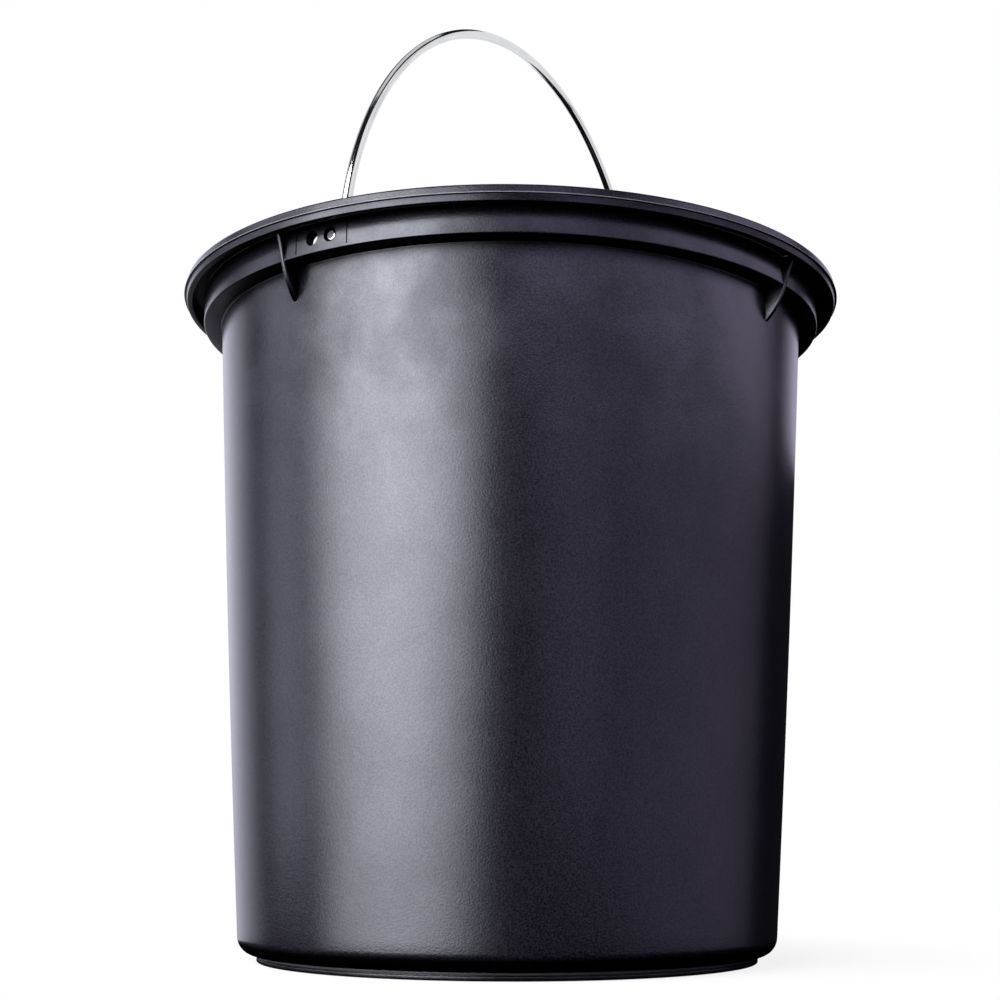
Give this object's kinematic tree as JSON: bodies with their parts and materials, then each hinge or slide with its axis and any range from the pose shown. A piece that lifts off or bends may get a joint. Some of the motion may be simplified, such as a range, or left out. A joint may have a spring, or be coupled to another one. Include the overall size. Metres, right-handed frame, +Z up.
{
  "type": "florist bucket",
  "caption": "Tapered round black bucket with a stepped collar, turned-down rim and stiffening fins, carried by a folding wire bail.",
  "frame": {"origin": "centre of the foot ring's resting plane, on the bucket's axis", "axes": "+Z up along the bucket's axis; X is the bail's pivot axis through the two wire holes; the bail leans a little towards -Y at rest"},
  "size_m": [0.28, 0.28, 0.3928],
  "materials": {
    "black_plastic": "moulded polypropylene, satin with a faint mottled grain",
    "bright_wire": "bright polished steel wire"
  },
  "bodies": {
    "bucket": {"bucket_shell": "black_plastic"},
    "bail": {"bail_handle": "bright_wire"}
  },
  "joints": [
    {"name": "bail_pivot", "type": "hinge", "parent": "bucket", "child": "bail", "pos_m": [0, 0, 0.2651], "axis": [1, 0, 0], "range_deg": [-93.6, 86.3]}
  ]
}
